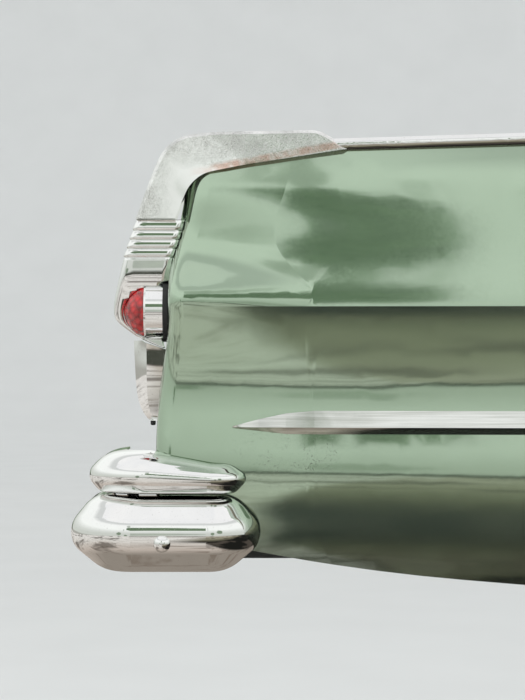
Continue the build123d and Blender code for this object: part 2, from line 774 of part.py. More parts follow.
def bumper_bar(section, radii, end_section, end_radii, rear, side, end):
    """a bar: tail run, corner, side run that may taper, and turned-in end"""
    end_turn = end_section[0][0] + 1
    corner = Vector(rear + corner_radius, -(side - corner_radius))
    tip = Vector(end - end_turn, -(side - end_turn))
    tail_plane = Plane(origin=corner, x_dir=(-1, 0, 0), z_dir=(0, 1, 0))
    tip_plane = Plane(origin=tip, x_dir=(0, -1, 0), z_dir=(-1, 0, 0))
    with BuildPart() as bar:
        with BuildSketch(tail_plane):
            band(section_points(section, corner_radius), radii, bumper_sheet)
        extrude(amount=-corner.Y - bumper_joint)
        with BuildSketch(tail_plane):
            band(section_points(section, corner_radius), radii, bumper_sheet)
        revolve(axis=Axis(corner, (0, 0, 1)), revolution_arc=90)
    with BuildPart() as side_run:
        for x, shape, shape_radii in ((corner.X, section, radii),
                                      (tip.X, end_section, end_radii)):
            with BuildSketch(Plane(origin=(x, corner.Y, 0), x_dir=(0, -1, 0),
                                   z_dir=(-1, 0, 0))):
                band(section_points(shape, corner_radius), shape_radii, bumper_sheet)
        loft(ruled=True)
    with BuildPart() as turned_end:
        with BuildSketch(tip_plane):
            band(section_points(end_section, end_turn), end_radii, bumper_sheet)
        revolve(axis=Axis(tip, (0, 0, 1)), revolution_arc=90)
    return bar.part + side_run.part + turned_end.part


# the bars stand clear of the wing, so they are cut back along it
wing_clearance = side_core(lower_levels, -bumper_gap)
bolt_place = 142.0          # the bolt, ahead of the lower bar's rear face
bolt_drop = 10.0            # the bolt, under the bumper's middle
bolt_x = lower_rear + bolt_place
bolt_z = bumper_z - bolt_drop
with BuildPart() as bumper_lower_bar:
    add(bumper_bar(lower_section, lower_radii, lower_section, lower_radii, lower_rear,
                   lower_side, lower_end))
    add(wing_clearance, mode=Mode.SUBTRACT)
    with BuildSketch(Plane.XZ.offset(lower_side - 20)):
        with Locations((bolt_x, bolt_z)):
            Circle(bumper_bolt / 2 + fit)
    extrude(amount=30, mode=Mode.SUBTRACT)
bumper_lower_bar.part.label = "bumper_lower_bar"
with BuildPart() as bumper_upper_bar:
    add(bumper_bar(upper_section, upper_radii, upper_end_section, upper_end_radii, upper_rear,
                   upper_side, upper_end))
    add(wing_clearance, mode=Mode.SUBTRACT)
bumper_upper_bar.part.label = "bumper_upper_bar"


def bar_inside(section, radii, face):
    """the room inside a bar's run, as a face in (distance, z) from the run's own face on"""
    points, inner_radii = inset([(face + inward, bumper_z + lift) for inward, lift in section],
                                radii, -bumper_sheet - fit)
    with BuildSketch() as room:
        with BuildLine():
            FilletPolyline(*points, radius=inner_radii)
            Line(points[-1], points[0])
        make_face()
    return room.sketch


# Bumper arm: a flat bar from inside the lower bar forward to the chassis
arm_out = 30.0
arm_thickness = 10.0
arm_height = 38.0
arm_drop = 46.0             # the arm's foot, under the bumper's middle
frame_bolt = 14.0
frame_bolt_pitch = 120.0
frame_bolt_end = 20.0       # from the arm's front end to the first bolt
bridge_thickness = 8.0
bridge_width = 20.0
bridge_bolt = 8.0
bridge_bolt_pitch = 18.0
room_overlap = 2.0          # how far the plates' bars reach into the bars' rooms
lower_room = bar_inside(lower_section, lower_radii, lower_rear)
upper_room = bar_inside(upper_section, upper_radii, upper_rear)
lower_back = lower_rear + lower_section[0][0]
lower_lip = lower_rear + lower_section[-1][0] - room_overlap
upper_back = upper_rear + upper_section[0][0]
arm_front = lower_back + arm_length
arm_foot = bumper_z - arm_drop
arm_head = arm_foot + arm_height
arm_middle = arm_foot + arm_height / 2
frame_bolts = [(arm_front - frame_bolt_end - index * frame_bolt_pitch, arm_middle)
               for index in (0, 1)]
bridge_bolts_at = [(upper_back + bridge_width / 2, arm_middle + side * bridge_bolt_pitch / 2)
                   for side in (-1, 1)]
with BuildPart() as bumper_arm:
    with BuildSketch(Plane.XZ.offset(arm_out)):
        add(lower_room)
        Polygon((lower_lip, arm_foot), (arm_front, arm_foot), (arm_front, arm_head),
                (lower_lip, arm_head), align=None)
        with Locations(*frame_bolts):
            Circle(frame_bolt / 2, mode=Mode.SUBTRACT)
        with Locations(*bridge_bolts_at):
            Circle(bridge_bolt / 2 + fit, mode=Mode.SUBTRACT)
    extrude(amount=arm_thickness)
bumper_arm.part.label = "bumper_arm"

# Bridge: a plate bolted to the arm that carries the upper bar
bridge_out = arm_out + arm_thickness + fit
with BuildPart() as bumper_bridge:
    with BuildSketch(Plane.XZ.offset(bridge_out)):
        add(lower_room)
        add(upper_room)
        head = bumper_z + upper_section[-1][1] - 10
        Polygon((lower_lip, arm_foot), (upper_back + bridge_width, arm_foot),
                (upper_back + bridge_width, head), (upper_back - room_overlap, head),
                (upper_back - room_overlap, head - 40), (upper_back + 2, head - 40),
                (upper_back + 2, arm_foot + 60), (lower_lip, arm_foot + 60), align=None)
        with Locations(*bridge_bolts_at):
            Circle(bridge_bolt / 2 + fit, mode=Mode.SUBTRACT)
    extrude(amount=bridge_thickness)
bumper_bridge.part.label = "bumper_bridge"

# Bolts that hold the bridge to the arm, each with its nut on
hex_across = 1.6            # a hexagon's width over its bolt's diameter
hex_depth = 0.7             # and its depth
stack = arm_thickness + fit + bridge_thickness
with BuildPart() as bridge_bolts:
    for place in bridge_bolts_at:
        for out, depth, size in ((arm_out - hex_depth * bridge_bolt, hex_depth * bridge_bolt, 1),
                                 (arm_out, stack, 0),
                                 (arm_out + stack, hex_depth * bridge_bolt, 1)):
            with BuildSketch(Plane.XZ.offset(out)):
                with Locations(place):
                    if size:
                        RegularPolygon(hex_across * bridge_bolt / 2, 6, major_radius=False)
                    else:
                        Circle(bridge_bolt / 2)
            extrude(amount=depth)
bridge_bolts.part.label = "bridge_bolts"

# Side stay: a strip under the tail from the arm out to the lower bar's side
stay_width = 36.0
stay_thickness = 6.0
stay_lift = 9.0             # from the arm's foot up to the stay
stay_tab = 16.0             # from the bar's face to the tab's inner face
stay_gusset = 14.0          # height of the slope between the stay and its tab
stay_slope = 32.0           # and its reach inboard
stay_foot = arm_foot + stay_lift
stay_tab_top = bumper_z + 10
stay_start = -(arm_out + arm_thickness + fit)
stay_face = lower_side - bumper_sheet
with BuildPart() as side_stay:
    with BuildSketch(Plane.YZ.offset(bolt_x - stay_width / 2)):
        # the tab lies against the bar's inner face
        add(bar_inside(lower_section, lower_radii, -lower_side))
        Polygon((-lower_side, stay_tab_top), (stay_tab - lower_side, stay_tab_top),
                (stay_tab - lower_side, stay_foot + stay_gusset),
                (stay_tab + stay_slope - lower_side, stay_foot),
                (-lower_side, stay_foot), align=None, mode=Mode.INTERSECT)
        Polygon((stay_start, stay_foot), (stay_tab + 20 - lower_side, stay_foot),
                (stay_tab + 20 - lower_side, stay_foot + stay_thickness),
                (stay_start - stay_thickness, stay_foot + stay_thickness),
                (stay_start - stay_thickness, arm_head), (stay_start, arm_head), align=None)
    extrude(amount=stay_width)
    with BuildSketch(Plane.XZ.offset(stay_face - 30)):
        with Locations((bolt_x, bolt_z)):
            Circle(bumper_bolt / 2 + fit)
    extrude(amount=40, mode=Mode.SUBTRACT)
side_stay.part.label = "side_stay"

# Bumper bolt: a domed head on the bar's face, and its nut behind the stay
dome_rise = 7.0
nut_out = lower_side - stay_tab
with BuildPart() as bumper_bolt_side:
    with BuildSketch(Plane.XZ.offset(nut_out - hex_depth * bumper_bolt - 4)):
        with Locations((bolt_x, bolt_z)):
            Circle(bumper_bolt / 2)
    extrude(amount=stay_tab + hex_depth * bumper_bolt + 4)
    with BuildSketch(Plane(origin=(bolt_x, -lower_side + 2, bolt_z), x_dir=(1, 0, 0),
                           z_dir=(0, 0, 1))):
        with BuildLine():
            Polyline((bumper_bolt_head / 2, 0), (0, 0), (0, -2 - dome_rise))
            ThreePointArc((0, -2 - dome_rise), (bumper_bolt_head / 3, -2 - dome_rise * 0.66),
                          (bumper_bolt_head / 2, -2))
            Line((bumper_bolt_head / 2, -2), (bumper_bolt_head / 2, 0))
        make_face()
    revolve(axis=Axis((bolt_x, 0, bolt_z), (0, 1, 0)))
    add(bumper_lower_bar.part, mode=Mode.SUBTRACT)
bumper_bolt_side.part.label = "bumper_bolt"

with BuildPart() as bumper_nut:
    with BuildSketch(Plane.XZ.offset(nut_out - hex_depth * bumper_bolt)):
        with Locations((bolt_x, bolt_z)):
            RegularPolygon(hex_across * bumper_bolt / 2, 6, major_radius=False)
            Circle(bumper_bolt / 2 + fit / 3, mode=Mode.SUBTRACT)
    extrude(amount=hex_depth * bumper_bolt)
bumper_nut.part.label = "bumper_nut"

# Front baffle: the plate that closes the wing ahead of the wheel
baffle_inset = 40.0         # behind the front edge
baffle_x = front_edge - baffle_inset
baffle_foot = above(sill_height) + sheet
baffle_head = shelf_z(fin_stations[-1]) - rail_drop - flange_depth
with BuildPart() as front_baffle:
    with BuildSketch(Plane.YZ.offset(baffle_x)):
        with Locations((-rail_thickness, baffle_foot)):
            Rectangle(wheelhouse_reach, baffle_head - baffle_foot, align=(Align.MAX, Align.MIN))
    extrude(amount=sheet)
    add(wing_room, mode=Mode.INTERSECT)
front_baffle.part.label = "front_baffle"

pieces = [wing_skin, fin_top, bolt_rail, wheelhouse, front_baffle, fin_cap, lamp_housing,
          lamp_gasket, lamp_ring, lens, reflector, bulb_socket, bulb_glass, finial,
          finial_plug, belt_moulding, spear, bumper_lower_bar, bumper_upper_bar,
          bumper_arm, bumper_bridge, bridge_bolts, side_stay, bumper_bolt_side, bumper_nut]
for piece in pieces:
    export_step(piece.part, f"parts/{piece.part.label}.step")
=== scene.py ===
"""Looks of the right rear wing: materials, light and camera round the CAD frame, in metres."""
import json
from math import cos, pi, radians, sin

import bpy
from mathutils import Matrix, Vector


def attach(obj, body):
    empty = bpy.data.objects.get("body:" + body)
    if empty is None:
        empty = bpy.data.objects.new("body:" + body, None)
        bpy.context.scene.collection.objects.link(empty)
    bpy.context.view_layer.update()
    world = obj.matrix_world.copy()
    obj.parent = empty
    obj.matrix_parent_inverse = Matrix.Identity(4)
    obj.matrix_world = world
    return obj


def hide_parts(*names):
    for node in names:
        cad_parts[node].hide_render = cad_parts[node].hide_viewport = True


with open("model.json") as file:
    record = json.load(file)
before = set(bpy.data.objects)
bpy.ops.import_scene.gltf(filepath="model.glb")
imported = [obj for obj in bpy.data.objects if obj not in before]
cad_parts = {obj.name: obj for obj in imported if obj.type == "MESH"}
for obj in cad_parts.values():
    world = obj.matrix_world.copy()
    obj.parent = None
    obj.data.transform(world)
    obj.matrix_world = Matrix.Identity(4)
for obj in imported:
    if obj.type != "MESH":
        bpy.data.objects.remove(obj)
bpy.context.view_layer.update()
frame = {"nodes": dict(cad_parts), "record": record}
nodes = frame["nodes"]
scene = bpy.context.scene

# The photograph's frame: 525 x 700 pixels, 1.5 mm to a pixel at the wing
mm_per_pixel = 1.5
photo_height = 700
view_height = photo_height * mm_per_pixel / 1000
view_middle = Vector((-1.114, -0.16, -0.2735))
camera_distance = 3.3
road = -0.945


def make_camera():
    """a level view square to the wing's side, as the photo has it"""
    data = bpy.data.cameras.new("camera")
    data.sensor_width = 36
    data.lens = data.sensor_width * camera_distance / view_height
    camera = bpy.data.objects.new("camera", data)
    camera.location = view_middle + Vector((0, -camera_distance, 0))
    camera.rotation_euler = (radians(90), 0, 0)
    scene.collection.objects.link(camera)
    scene.camera = camera


class Shade:
    """a material whose node tree grows by short calls; x, y and z are the piece's own space"""

    def __init__(self, name):
        self.material = bpy.data.materials.new(name)
        self.material.use_nodes = True
        self.tree = self.material.node_tree
        self.tree.nodes.clear()
        self.output = self.add("ShaderNodeOutputMaterial")
        self.bsdf = self.add("ShaderNodeBsdfPrincipled")
        self.show(self.bsdf.outputs[0])
        self.place = self.add("ShaderNodeTexCoord").outputs["Object"]
        split = self.add("ShaderNodeSeparateXYZ")
        self.put(self.place, split.inputs[0])
        self.x, self.y, self.z = split.outputs

    def add(self, kind, **settings):
        """a new node"""
        node = self.tree.nodes.new(kind)
        for key, value in settings.items():
            setattr(node, key, value)
        return node

    def put(self, value, socket):
        """a number, a colour or another node's output goes into a socket"""
        if isinstance(value, (int, float)):
            socket.default_value = value
        elif isinstance(value, tuple):
            socket.default_value = (*value, 1)
        else:
            self.tree.links.new(value, socket)

    def set(self, **sockets):
        """values for the shader's own sockets, named with _ for each space"""
        for key, value in sockets.items():
            self.put(value, self.bsdf.inputs[key.replace("_", " ")])

    def noise(self, scale, detail=3.0, rough=0.5, stretch=None):
        """noise over the piece's own space, from 0 to 1; scale is in cells per metre"""
        node = self.add("ShaderNodeTexNoise")
        node.inputs["Scale"].default_value = scale
        node.inputs["Detail"].default_value = detail
        node.inputs["Roughness"].default_value = rough
        source = self.place
        if stretch:
            mapping = self.add("ShaderNodeMapping")
            mapping.inputs["Scale"].default_value = stretch
            self.put(source, mapping.inputs["Vector"])
            source = mapping.outputs[0]
        self.put(source, node.inputs["Vector"])
        return node.outputs["Fac"]

    def ramp(self, value, *stops):
        """colours or greys by value: each stop is (position, colour or grey)"""
        node = self.add("ShaderNodeValToRGB")
        elements = node.color_ramp.elements
        while len(elements) < len(stops):
            elements.new(0.5)
        for element, (position, colour) in zip(elements, stops):
            element.position = position
            grey = isinstance(colour, (int, float))
            element.color = (colour, colour, colour, 1) if grey else (*colour, 1)
        self.put(value, node.inputs[0])
        return node.outputs[0]

    def maths(self, operation, first, second):
        """one step of arithmetic on two values"""
        node = self.add("ShaderNodeMath", operation=operation)
        self.put(first, node.inputs[0])
        self.put(second, node.inputs[1])
        return node.outputs[0]

    def plus(self, first, second):
        return self.maths("ADD", first, second)

    def less(self, first, second):
        return self.maths("SUBTRACT", first, second)

    def times(self, first, second):
        return self.maths("MULTIPLY", first, second)

    def larger(self, first, second):
        return self.maths("MAXIMUM", first, second)

    def mix(self, share, first, second):
        """a colour between two, by a share"""
        node = self.add("ShaderNodeMix", data_type="RGBA")
        self.put(share, node.inputs[0])
        self.put(first, node.inputs[6])
        self.put(second, node.inputs[7])
        return node.outputs[2]

    def rising(self, value, start, end):
        """a smooth rise from 0 to 1 as a value goes from start to end"""
        node = self.add("ShaderNodeMapRange", interpolation_type="SMOOTHSTEP")
        self.put(value, node.inputs["Value"])
        node.inputs["From Min"].default_value = start
        node.inputs["From Max"].default_value = end
        return node.outputs[0]

    def between(self, value, low, high, soft):
        """1 between two values, fading over a soft width at each of them"""
        return self.times(self.rising(value, low - soft, low + soft),
                          self.rising(value, high + soft, high - soft))

    def bump(self, height, strength, distance):
        """relief on the shader's normal"""
        node = self.add("ShaderNodeBump")
        node.inputs["Strength"].default_value = strength
        node.inputs["Distance"].default_value = distance
        self.put(height, node.inputs["Height"])
        self.set(Normal=node.outputs[0])

    def glow(self, colour):
        """a surface that gives off a colour and takes no light"""
        node = self.add("ShaderNodeEmission")
        self.put(colour, node.inputs["Color"])
        return node.outputs[0]

    def met_by(self, *rays):
        """1 for these kinds of ray and 0 for others"""
        path = self.add("ShaderNodeLightPath")
        met = path.outputs[rays[0]]
        for ray in rays[1:]:
            met = self.larger(met, path.outputs[ray])
        return met

    def blend(self, share, first, second):
        """a surface between two, by a share"""
        node = self.add("ShaderNodeMixShader")
        for value, socket in zip((share, first, second), node.inputs):
            self.put(value, socket)
        return node.outputs[0]

    def show(self, surface):
        """a surface takes the place of the one shown so far"""
        self.put(surface, self.output.inputs["Surface"])

    def show_mirrored(self, colour):
        """a glow that only mirror reflections meet; other rays pass through"""
        clear = self.add("ShaderNodeBsdfTransparent").outputs[0]
        self.show(self.blend(self.met_by("Is Glossy Ray"), clear, self.glow(colour)))


def paint():
    """old gloss paint: a pale green with depth, fine dust, road dirt, and painted shade along the sill
    """
    shade = Shade("paint")
    fine = shade.noise(260, 5, 0.7)
    colour = shade.ramp(shade.noise(5, 3), (0.3, (0.375, 0.485, 0.360)), (0.7, (0.410, 0.525, 0.395)))
    # specks of dirt thrown up behind the bumper and along the sill
    specks = shade.ramp(shade.noise(520, 2, 0.6), (0.60, 0), (0.66, 1))
    clouds = shade.ramp(shade.noise(34, 3), (0.42, 0), (0.62, 1))
    behind_bumper = shade.times(shade.between(shade.x, -1.14, -0.98, 0.05),
                                shade.between(shade.z, -0.475, -0.395, 0.03))
    along_sill = shade.times(shade.between(shade.z, -0.75, -0.60, 0.05), 0.6)
    dirt = shade.times(shade.times(specks, clouds), shade.larger(behind_bumper, along_sill))
    dirt = shade.times(dirt, 0.75)
    # painted shade: an even darkening of the lowest strip, where the sill turns under into shadow
    painted_sill_shade = shade.times(shade.between(shade.z, -0.80, -0.56, 0.03),
                        shade.ramp(shade.noise(9, 4), (0.3, 0.70), (0.7, 0.90)))
    dust = shade.times(shade.ramp(fine, (0.62, 0), (0.72, 1)), 0.10)
    colour = shade.mix(dust, colour, (0.52, 0.54, 0.47))
    colour = shade.mix(dirt, colour, (0.055, 0.052, 0.040))
    # the sill's painted shade
    colour = shade.mix(painted_sill_shade, colour, (0.060, 0.066, 0.050))
    rough = shade.plus(shade.ramp(fine, (0.3, 0.07), (0.75, 0.13)), shade.times(dirt, 0.5))
    shade.set(Base_Color=colour, Roughness=rough, Metallic=0.9, Coat_Weight=1.0,
              Coat_Roughness=0.02, Coat_IOR=1.6)
    shade.bump(shade.noise(55, 2, 0.4), 0.04, 0.0006)
    return shade.material


def plate_haze(shade):
    """faint waves left in a plate by polishing; returns the haze of its scratches"""
    shade.bump(shade.noise(26, 2, 0.5), 0.035, 0.0012)
    return shade.noise(28, 5, 0.6)


def chrome(name, tint=0.90, haze_share=0.35):
    """bright plate with faint polish haze and a few water spots"""
    shade = Shade(name)
    haze = plate_haze(shade)
    spots = shade.ramp(shade.noise(420, 2, 0.5), (0.66, 0), (0.74, 1))
    clean = shade.ramp(haze, (0.3, (tint * 0.95, tint * 0.95, tint * 0.945)),
                       (0.7, (tint, tint, tint * 0.995)))
    polished = 0.025
    rough = shade.ramp(haze, (0.35, polished), (0.75, polished + 0.10 * haze_share))
    shade.set(Base_Color=shade.mix(shade.times(spots, 0.35), clean, (0.50, 0.49, 0.46)),
              Roughness=shade.plus(rough, shade.times(spots, 0.18)), Metallic=1.0)
    return shade.material


def spear_plate():
    """thin pressed plate, duller than the castings, with fine streaks along its length"""
    shade = Shade("spear_plate")
    haze = plate_haze(shade)
    streaks = shade.ramp(shade.noise(130, 3, 0.6, (0.012, 0.5, 1.6)), (0.38, 0), (0.66, 1))
    shade.set(Base_Color=shade.mix(streaks, (0.76, 0.77, 0.75), (0.56, 0.57, 0.54)),
              Roughness=shade.ramp(haze, (0.35, 0.05), (0.75, 0.14)), Metallic=1.0)
    return shade.material


def pitted_chrome():
    """cast plate pitted in clouds along its outer edge, with copper showing along its foot"""
    shade = Shade("pitted_chrome")
    pits = shade.ramp(shade.noise(1100, 4, 0.7), (0.50, 0), (0.58, 1))
    large = shade.ramp(shade.noise(560, 2, 0.5), (0.57, 0), (0.66, 0.9))
    clouds = shade.ramp(shade.noise(24, 5, 0.65), (0.40, 0), (0.60, 1))
    top = shade.between(shade.z, 0.020, 0.080, 0.022)
    aft = shade.between(shade.x, -1.320, -1.268, 0.030)
    zone = shade.times(shade.larger(top, aft), shade.plus(shade.times(clouds, 0.65), 0.35))
    worn = shade.times(shade.larger(pits, large), zone)
    bloom = shade.times(clouds, zone)
    # the copper's strip, by its height over the cap's foot, which slants along the wing's crest
    foot_slope, foot_height, per_metre = 0.18, 0.2077, 20.0
    over = shade.less(shade.less(shade.z, shade.times(shade.x, foot_slope)), foot_height)
    strip = shade.ramp(shade.times(over, per_metre), (0.06, 0), (0.11, 1), (0.26, 1), (0.36, 0))
    copper = shade.times(strip, shade.between(shade.x, -1.20, -0.985, 0.035))
    copper = shade.times(copper, shade.ramp(shade.noise(60, 4), (0.32, 0.25), (0.60, 1)))
    base = shade.mix(shade.times(bloom, 0.30), (0.90, 0.90, 0.89), (0.60, 0.61, 0.59))
    base = shade.mix(shade.times(copper, 0.75), base, (0.70, 0.44, 0.35))
    rough = shade.plus(shade.ramp(bloom, (0, 0.05), (1, 0.22)), shade.times(worn, 0.40))
    shade.set(Base_Color=shade.mix(shade.times(worn, 0.8), base, (0.30, 0.30, 0.28)),
              Roughness=rough, Metallic=1.0)
    shade.bump(worn, 0.30, 0.0004)
    return shade.material


def plain(name, colour, roughness):
    """one colour with a faint grain"""
    shade = Shade(name)
    grain = shade.noise(120, 4)
    dark = tuple(channel * 0.8 for channel in colour)
    shade.set(Base_Color=shade.mix(grain, dark, colour),
              Roughness=shade.ramp(grain, (0.3, roughness - 0.05), (0.7, roughness + 0.08)))
    shade.bump(grain, 0.08, 0.0004)
    return shade.material


def lens_red():
    """moulded red plastic, with painted shade that darkens it between its facets"""
    shade = Shade("lens_red")
    cells = shade.add("ShaderNodeTexVoronoi")
    cells.inputs["Scale"].default_value = 95
    shade.put(shade.place, cells.inputs["Vector"])
    facets = cells.outputs["Distance"]
    # painted shade: the red darkens towards each facet's edge
    shade.set(Base_Color=shade.ramp(facets, (0.1, (0.72, 0.012, 0.016)), (0.75, (0.22, 0.002, 0.004))),
              Roughness=0.05, Coat_Weight=1.0, Coat_Roughness=0.02, Transmission_Weight=0.25,
              IOR=1.49)
    shade.bump(facets, 0.75, 0.003)
    return shade.material


def make_materials():
    """a material for each slot of the record"""
    return {
        "paint": paint(),
        "underside_paint": plain("underside_paint", (0.045, 0.048, 0.046), 0.55),
        "chrome": chrome("chrome"),
        "pitted_chrome": pitted_chrome(),
        "lens_red": lens_red(),
        "bulb_glass": plain("bulb_glass", (0.8, 0.78, 0.72), 0.1),
        "bright_steel": chrome("bright_steel", 0.86, 0.8),
        "rubber": plain("rubber", (0.018, 0.018, 0.018), 0.6),
        "dark_steel": plain("dark_steel", (0.03, 0.03, 0.03), 0.5),
    }


def dress_nodes(materials):
    """each CAD node in its slot's material, and the spear in its own duller plate"""
    slots = {part["node"]: part["material_slot"] for part in frame["record"]["subparts"]}
    for name, node in nodes.items():
        node.data.materials.clear()
        node.data.materials.append(materials[slots[name]])
    nodes["spear"].data.materials[0] = spear_plate()


def piece_of(name, points, faces, material, flat=()):
    """an object whose mesh is smooth but for the faces numbered flat"""
    mesh = bpy.data.meshes.new(name)
    mesh.from_pydata(points, [], faces)
    for i, face in enumerate(mesh.polygons):
        face.use_smooth = i not in flat
    mesh.materials.append(material)
    piece = bpy.data.objects.new(name, mesh)
    scene.collection.objects.link(piece)
    return piece


def stage_mesh(name, points, faces, shade):
    """a surface round the object that isn't part of it"""
    piece = piece_of(name, points, faces, shade.material)


# The paper behind the part: how far it reaches, the place and top of its wall, and its sweep's radius
paper_reach, wall_place, wall_top, sweep = 24.0, 17.0, 20.0, 6.0
sweep_steps = 12
# Share of the paper's colour that shows whatever light falls on it
paper_glow = 0.6


def make_backdrop():
    """pale paper that runs from the floor up behind the part in one sweep"""
    shade = Shade("paper")
    grain = shade.ramp(shade.noise(3, 2), (0.3, (0.715, 0.73, 0.72)), (0.7, (0.735, 0.75, 0.74)))
    shade.set(Base_Color=grain, Roughness=0.9)
    seen = shade.met_by("Is Camera Ray", "Is Glossy Ray", "Is Transmission Ray")
    shade.show(shade.blend(shade.times(seen, paper_glow), shade.bsdf.outputs[0], shade.glow(grain)))
    profile = [(-paper_reach, road)]
    for step in range(sweep_steps + 1):
        angle = pi / 2 * step / sweep_steps
        profile.append((wall_place - sweep + sweep * sin(angle), road + sweep - sweep * cos(angle)))
    profile.append((wall_place, wall_top))
    points = [(x, y, z) for y, z in profile for x in (-paper_reach, paper_reach)]
    faces = [(2 * i, 2 * i + 1, 2 * i + 3, 2 * i + 2) for i in range(len(profile) - 1)]
    stage_mesh("floor", points, faces, shade)


# The lamp, in millimetres: its axis, and the lens with the end of its curve, its depth and radius
lamp_middle, lamp_z = -79.0, -214.0
lens_base, lens_depth, lens_radius = -1295.0, 33.5, 39.8
# Its wall, the length of its straight rim, and how far up that rim the hollow's curve starts
lens_wall, lens_rim, hollow_start = 3, 5, 2
# How full its cheeks are: 1 makes a cone and 2 half an egg
lens_fullness = 1.7
# Room that the housing leaves round the lens, its ring and its gasket
lens_gap, ring_room, ring_front, gasket_room = 1, 43.3, -1266.0, 47.3
past_wing_end = -1200
# Head of the first rib; its aft edge, which slants by a share of the height, and its half width
ribs_head, ribs_aft, ribs_slant, ribs_half = -74.5, -1307.0, 0.337, 24.3
rib_heights = [16.0, 14.0, 13.5, 13.5]
# A rib's swell from its head to its foot. Columns: share of its height, how far it stands out
rib_swell = [(0, -1.5), (0.05, -0.7), (0.14, 0.0), (0.32, 0.7), (0.52, 1.2), (0.70, 1.5),
             (0.82, 1.5), (0.90, 1.1), (0.96, 0.1)]
# Levels of the groove under the ribs, then of the hood and keel. Columns: z, aft edge, half width,
# length of the nose
groove_rows = [(-131.5, -1324.7, 22.8, 9), (-132.2, -1325.5, 23.7, 9)]
hood_rows = [(-131.5, -1326.2, 24.4, 9), (-150, -1330.5, 24.2, 9), (-168, -1334.8, 22.8, 10),
             (-184, -1338.3, 19.4, 11), (-198, -1341.0, 15.6, 11), (-210, -1342.0, 12.4, 10),
             (-220, -1341.3, 10.2, 9), (-229, -1337.3, 8.8, 8), (-238, -1327.6, 8.0, 7),
             (-247, -1315.4, 7.6, 7), (-256, -1301.6, 7.5, 7), (-264, -1284.0, 7.5, 6),
             (-270.5, -1266.5, 7.5, 2)]
hood_start, hood_step = -133, 2.2
# Face towards the wing's tail. Columns: z, the face's x, lead of its outboard corner
tail_rows = [(-74.5, -1240.3, 7.6), (-95, -1244.8, 6.7), (-110, -1248.2, 5.1), (-125, -1251.3, 2.7),
             (-140, -1253.9, 0.4), (-155, -1256.0, 0), (-168, -1257.3, 0), (-170, -1266.3, 0),
             (-264, -1266.0, 0), (-271, -1263.4, 0)]
# Steps along each side of a level and round its nose, and the power that squares the nose
side_steps, nose_steps, nose_square = 6, 16, 0.75


def straight(rows, z, column):
    """a table's value at a height, read off straight between its rows"""
    for above, below in zip(rows, rows[1:]):
        if z >= below[0]:
            share = (above[0] - z) / (above[0] - below[0])
            return above[column] + share * (below[column] - above[column])
    return rows[-1][column]


def flowing(rows, step):
    """rows filled in by a curve that runs smoothly through them all"""
    filled = []
    for i in range(len(rows) - 1):
        around = [rows[max(i - 1, 0)], rows[i], rows[i + 1], rows[min(i + 2, len(rows) - 1)]]
        count = max(2, int((rows[i][0] - rows[i + 1][0]) / step))
        for k in range(count):
            t = k / count
            weights = (-0.5 * t + t**2 - 0.5 * t**3, 1 - 2.5 * t**2 + 1.5 * t**3,
                       0.5 * t + 2 * t**2 - 1.5 * t**3, -0.5 * t**2 + 0.5 * t**3)
            filled.append(tuple(sum(w * row[c] for w, row in zip(weights, around))
                                for c in range(len(rows[0]))))
    return filled + [rows[-1]]


def in_metres(points):
    """points in metres from points in millimetres"""
    return [tuple(value / 1000 for value in point) for point in points]


def turned(name, profile, material, count=72):
    """a closed solid turned about the lamp's axis from (x, radius) points that start and end on it"""
    points = [(profile[0][0], lamp_middle, lamp_z), (profile[-1][0], lamp_middle, lamp_z)]
    for x, radius in profile[1:-1]:
        for i in range(count):
            angle = 2 * pi * i / count
            points.append((x, lamp_middle + radius * cos(angle), lamp_z + radius * sin(angle)))
    rings = len(profile) - 2
    at = [[2 + ring * count + i % count for i in range(count + 1)] for ring in range(rings)]
    faces = [(0, at[0][i + 1], at[0][i]) for i in range(count)]
    faces += [(at[r][i], at[r][i + 1], at[r + 1][i + 1], at[r + 1][i])
              for r in range(rings - 1) for i in range(count)]
    faces += [(1, at[-1][i], at[-1][i + 1]) for i in range(count)]
    return piece_of(name, in_metres(points), faces, material)


def bullet(base, radius, depth, steps=22):
    """(x, radius) points of the lens's full outline, from its apex to its base"""
    points = []
    for k in range(steps + 1):
        share = (1 - k / steps) ** 1.6
        full = (1 - share**lens_fullness) ** (1 / lens_fullness)
        points.append((base - depth * share, radius * full))
    return points


def make_lens(material):
    """the lens with the full cheeks of the photo's, hollow as the solid is"""
    bore = lens_radius - lens_wall
    outside = bullet(lens_base, lens_radius, lens_depth)
    inside = bullet(lens_base + hollow_start, bore, lens_depth + hollow_start - lens_wall)
    rim = [(lens_base + lens_rim, lens_radius), (lens_base + lens_rim, bore)]
    lens = turned("lens_bullet", outside + rim + inside[::-1], material)
    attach(lens, "root")
    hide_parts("lens")


def housing_levels():
    """rows of the housing from its head to its keel, as in hood_rows"""
    levels = []
    z = ribs_head
    for height in rib_heights:
        for share, swell in rib_swell:
            level = z - share * height
            aft = ribs_aft + (level - ribs_head) * ribs_slant - swell
            levels.append((level, aft, ribs_half + swell, 9))
        z -= height
    return levels + groove_rows + [row for row in flowing(hood_rows, hood_step) if row[0] < hood_start]


def housing_ring(z, aft, half, nose):
    """points round the housing at a level: outboard side, nose, inboard side, face to the wing"""
    face, lead = straight(tail_rows, z, 1), straight(tail_rows, z, 2)
    start = aft + nose
    ring = [(face + lead + (start - face - lead) * k / side_steps, lamp_middle - half)
            for k in range(side_steps)]
    for k in range(nose_steps + 1):
        angle = pi * k / nose_steps
        across = abs(cos(angle)) ** nose_square * (1 if angle < pi / 2 else -1)
        ring.append((start - nose * sin(angle) ** nose_square, lamp_middle - half * across))
    ring += [(face + (start - face) * k / side_steps, lamp_middle + half)
             for k in reversed(range(side_steps))]
    # the face's middle and two points of its bend towards the outboard corner
    ring += [(face + lead * bend, lamp_middle - half * across)
             for bend, across in ((0, 0), (0.12, 0.33), (0.47, 0.68))]
    return [(x, y, z) for x, y in ring]


